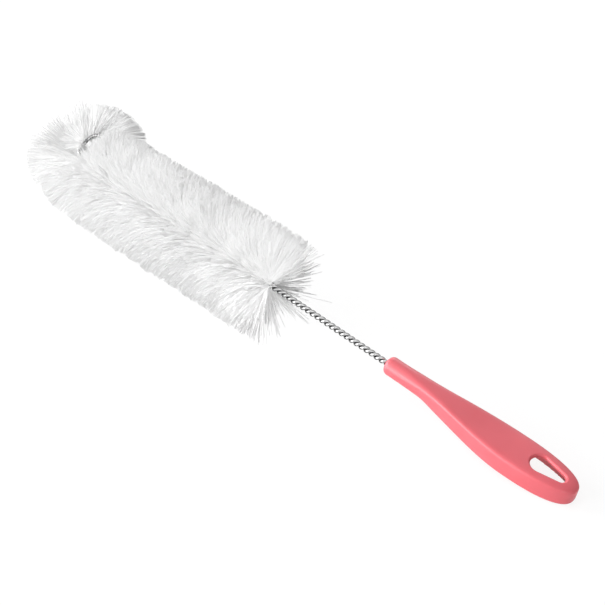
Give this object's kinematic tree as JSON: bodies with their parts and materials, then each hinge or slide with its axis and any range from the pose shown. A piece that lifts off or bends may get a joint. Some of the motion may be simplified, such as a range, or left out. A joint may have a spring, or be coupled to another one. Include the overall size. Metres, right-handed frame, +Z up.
{
  "type": "bottle brush",
  "caption": "Bottle brush with a twisted wire stem, bristles in a spiral up to a turned-back tip, and a flattened grip with a hanging hole.",
  "frame": {"origin": "on the floor, under the middle of the brush as it lies at rest", "axes": "+X along the brush towards the end of the handle, +Y level across it, +Z up; the tip is towards -X"},
  "size_m": [0.3696, 0.0654, 0.0777],
  "materials": {
    "handle": "satin",
    "wire": "satin",
    "bristles": "matte"
  },
  "bodies": {
    "root": {"handle": "handle", "twisted_wire": "wire", "bristles": "bristles"}
  },
  "joints": []
}
